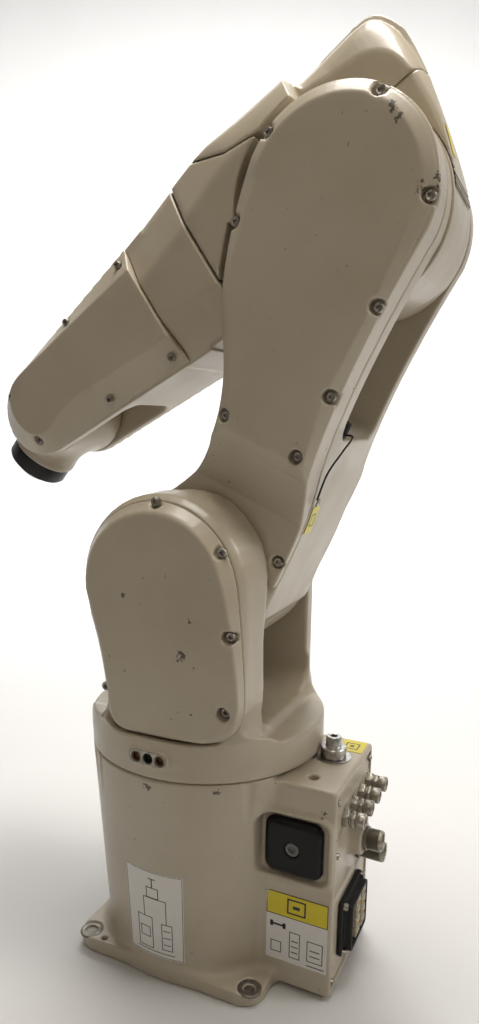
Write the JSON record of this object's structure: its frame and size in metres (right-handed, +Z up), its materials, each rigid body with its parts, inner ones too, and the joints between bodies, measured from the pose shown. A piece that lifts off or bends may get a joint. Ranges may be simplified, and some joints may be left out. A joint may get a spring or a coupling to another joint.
{
  "type": "six-axis industrial robot arm",
  "caption": "Compact articulated robot arm on a square foot: turning shoulder, forked lower arm, upper arm with rolling forearm, bending wrist and round tool flange.",
  "frame": {"origin": "centre of the foot's underside, on axis 1", "axes": "+Z up along axis 1, +X the way the arm reaches with axis 1 at zero, +Y the arm's left side"},
  "size_m": [0.4702, 0.246, 0.8735],
  "materials": {
    "grey_beige_paint": "warm grey-beige semi-gloss paint on castings and covers, worn at edges",
    "zinc_plated_steel": "bright zinc and nickel plated screws, fittings and connector shells",
    "machined_steel": "fine turned machine steel",
    "black_plastic": "black moulded plastic with a fine satin grain",
    "black_anodised_metal": "satin black coated ring",
    "motor_case": "dark grey powder-coated motor case",
    "circuit_board": "green circuit board"
  },
  "bodies": {
    "base": {"base_casting": "grey_beige_paint", "connector_panel": "grey_beige_paint", "air_fitting_1": "zinc_plated_steel", "air_fitting_2": "zinc_plated_steel", "air_fitting_3": "zinc_plated_steel", "air_fitting_4": "zinc_plated_steel", "signal_connector_upper": "zinc_plated_steel", "signal_connector_lower": "zinc_plated_steel", "power_connector": "black_plastic", "side_cover": "black_plastic", "axis_1_stop_screw": "zinc_plated_steel", "axis_1_motor": "motor_case", "axis_1_gear_unit": "machined_steel", "encoder_board": "circuit_board"},
    "swing": {"swing_housing": "grey_beige_paint", "swing_cover_left": "grey_beige_paint", "swing_cover_right": "grey_beige_paint", "swing_cover_screw_1": "zinc_plated_steel", "swing_cover_screw_2": "zinc_plated_steel", "swing_cover_screw_3": "zinc_plated_steel", "swing_cover_screw_4": "zinc_plated_steel", "swing_cover_screw_5": "zinc_plated_steel", "axis_2_motor": "motor_case", "axis_2_gear_unit": "machined_steel", "axis_2_support_bearing": "machined_steel"},
    "lower_arm": {"lower_arm_casting": "grey_beige_paint", "lower_arm_cover": "grey_beige_paint", "lower_arm_cover_screw_1": "zinc_plated_steel", "lower_arm_cover_screw_2": "zinc_plated_steel", "lower_arm_cover_screw_3": "zinc_plated_steel", "lower_arm_cover_screw_4": "zinc_plated_steel", "lower_arm_cover_screw_5": "zinc_plated_steel", "lower_arm_cover_screw_6": "zinc_plated_steel", "lower_arm_cover_screw_7": "zinc_plated_steel", "lower_arm_cover_screw_8": "zinc_plated_steel", "lower_arm_cover_screw_9": "zinc_plated_steel", "axis_3_motor": "motor_case", "axis_3_gear_unit": "machined_steel", "axis_3_support_bearing": "machined_steel", "port_dust_cap": "black_plastic"},
    "upper_arm": {"upper_arm_housing": "grey_beige_paint", "upper_arm_rear_cover": "grey_beige_paint", "axis_4_motor": "motor_case", "axis_4_gear_unit": "machined_steel"},
    "forearm": {"forearm_casting": "grey_beige_paint", "wrist_cover_left": "grey_beige_paint", "wrist_cover_right": "grey_beige_paint", "axis_5_motor": "motor_case", "axis_5_gear_unit": "machined_steel", "axis_5_support_bearing": "machined_steel"},
    "wrist": {"wrist_housing": "grey_beige_paint", "axis_6_drive": "motor_case", "flange_guard_ring": "black_anodised_metal"},
    "tool_flange": {"tool_flange": "machined_steel"}
  },
  "joints": [
    {"name": "axis_1", "type": "hinge", "parent": "base", "child": "swing", "pos_m": [0, 0, 0.222], "axis": [0, 0, 1], "range_deg": [-170, 170]},
    {"name": "axis_2", "type": "hinge", "parent": "swing", "child": "lower_arm", "pos_m": [0, 0, 0.3991], "axis": [0, 1, 0], "range_deg": [-68, 70]},
    {"name": "axis_3", "type": "hinge", "parent": "lower_arm", "child": "upper_arm", "pos_m": [-0.14386, 0, 0.71817], "axis": [0, 1, 0], "range_deg": [-178, 2]},
    {"name": "axis_4", "type": "hinge", "parent": "upper_arm", "child": "forearm", "pos_m": [-0.12019, 0, 0.75286], "axis": [0.8261, 0, -0.5635], "range_deg": [-270, 270]},
    {"name": "axis_5", "type": "hinge", "parent": "forearm", "child": "wrist", "pos_m": [0.16977, 0, 0.55507], "axis": [0, 1, 0], "range_deg": [-145.7, 114.3]},
    {"name": "axis_6", "type": "hinge", "parent": "wrist", "child": "tool_flange", "pos_m": [0.16977, 0, 0.55507], "axis": [0.6428, 0, -0.766], "range_deg": [-400, 400]}
  ]
}
